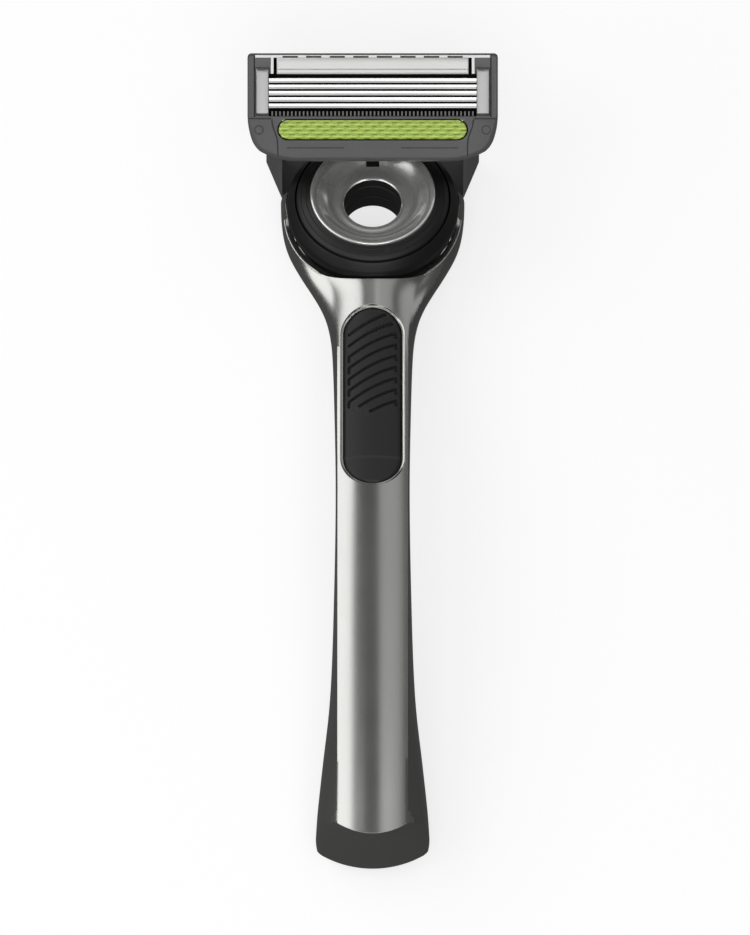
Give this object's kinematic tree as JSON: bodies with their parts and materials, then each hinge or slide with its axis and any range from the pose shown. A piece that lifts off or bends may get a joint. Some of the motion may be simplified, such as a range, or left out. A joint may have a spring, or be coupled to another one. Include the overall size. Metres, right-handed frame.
{
  "type": "cartridge razor",
  "caption": "Wet-shaving razor with a brushed metal handle, a pierced flexing disc neck and a pivoting cartridge that slides off for replacement.",
  "frame": {"origin": "middle of the footprint, on the surface the razor lies on", "axes": "+X to the razor's right seen from the front, +Y along the handle towards the head, +Z out of the front of the handle"},
  "size_m": [0.042, 0.1396, 0.0256],
  "materials": {
    "brushed_metal": "brushed satin",
    "silver_trim": "satin plated",
    "black_plastic": "matt",
    "black_rubber": "matt",
    "grey_plastic": "fine matt",
    "dark_grey_plastic": "fine matt",
    "green_bar": "soft matt",
    "strip_silver": "soft satin",
    "blade_steel": "ground bright",
    "clip_metal": "satin",
    "plain_steel": "plain"
  },
  "bodies": {
    "handle": {"handle_body": "brushed_metal", "rear_cover": "black_rubber", "thumb_grip": "black_rubber", "balance_weight": "plain_steel", "dock_plate": "plain_steel", "cover_screws": "plain_steel"},
    "ring": {"gimbal_ring": "black_plastic", "pitch_pin_left": "plain_steel", "pitch_pin_right": "plain_steel"},
    "disc": {"disc_core": "black_plastic", "front_bezel": "silver_trim", "rear_bezel": "silver_trim", "hole_sleeve": "black_rubber", "yoke": "dark_grey_plastic", "yoke_screws": "plain_steel", "roll_pin_upper": "plain_steel", "roll_pin_lower": "plain_steel"},
    "carrier": {"carrier": "dark_grey_plastic", "exfoliating_bar": "green_bar", "magnet_left": "plain_steel", "magnet_right": "plain_steel", "pivot_pin_left": "plain_steel", "pivot_pin_right": "plain_steel", "pivot_spring_left": "plain_steel", "pivot_spring_right": "plain_steel"},
    "cartridge": {"cartridge_frame": "grey_plastic", "blade_bed": "black_plastic", "lubricating_strip": "strip_silver", "guard_fins": "black_rubber", "clip_left": "clip_metal", "clip_right": "clip_metal", "keeper_left": "plain_steel", "keeper_right": "plain_steel", "trimmer_blade": "blade_steel"},
    "blade_1": {"blade_1": "blade_steel"},
    "blade_2": {"blade_2": "blade_steel"},
    "blade_3": {"blade_3": "blade_steel"},
    "blade_4": {"blade_4": "blade_steel"},
    "blade_5": {"blade_5": "blade_steel"}
  },
  "joints": [
    {"name": "disc_pitch", "type": "hinge", "parent": "handle", "child": "ring", "pos_m": [0, 0.04656, 0.00667], "axis": [1, 0, 0], "range_deg": [-5, 5], "stiffness_Nm_per_rad": 0.3},
    {"name": "disc_roll", "type": "hinge", "parent": "ring", "child": "disc", "pos_m": [0, 0.04656, 0.00667], "axis": [0, 0.9744, -0.225], "range_deg": [-5, 5], "stiffness_Nm_per_rad": 0.3},
    {"name": "head_pivot", "type": "hinge", "parent": "disc", "child": "carrier", "pos_m": [0, 0.05947, 0.01417], "axis": [-1, 0, 0], "range_deg": [0, 40], "stiffness_Nm_per_rad": 0.02, "springref_deg": -34.38, "deforming": ["pivot_spring_left", "pivot_spring_right"]},
    {"name": "cartridge_release", "type": "slide", "parent": "carrier", "child": "cartridge", "axis": [0, -0.4384, 0.8988], "range_m": [0, 0.02]},
    {"name": "blade_1_float", "type": "slide", "parent": "cartridge", "child": "blade_1", "axis": [0, -0.4384, 0.8988], "range_m": [-0.00025, 0], "stiffness_N_per_m": 800, "springref_m": 0.0001},
    {"name": "blade_2_float", "type": "slide", "parent": "cartridge", "child": "blade_2", "axis": [0, -0.4384, 0.8988], "range_m": [-0.00025, 0], "stiffness_N_per_m": 800, "springref_m": 0.0001},
    {"name": "blade_3_float", "type": "slide", "parent": "cartridge", "child": "blade_3", "axis": [0, -0.4384, 0.8988], "range_m": [-0.00025, 0], "stiffness_N_per_m": 800, "springref_m": 0.0001},
    {"name": "blade_4_float", "type": "slide", "parent": "cartridge", "child": "blade_4", "axis": [0, -0.4384, 0.8988], "range_m": [-0.00025, 0], "stiffness_N_per_m": 800, "springref_m": 0.0001},
    {"name": "blade_5_float", "type": "slide", "parent": "cartridge", "child": "blade_5", "axis": [0, -0.4384, 0.8988], "range_m": [-0.00025, 0], "stiffness_N_per_m": 800, "springref_m": 0.0001}
  ]
}
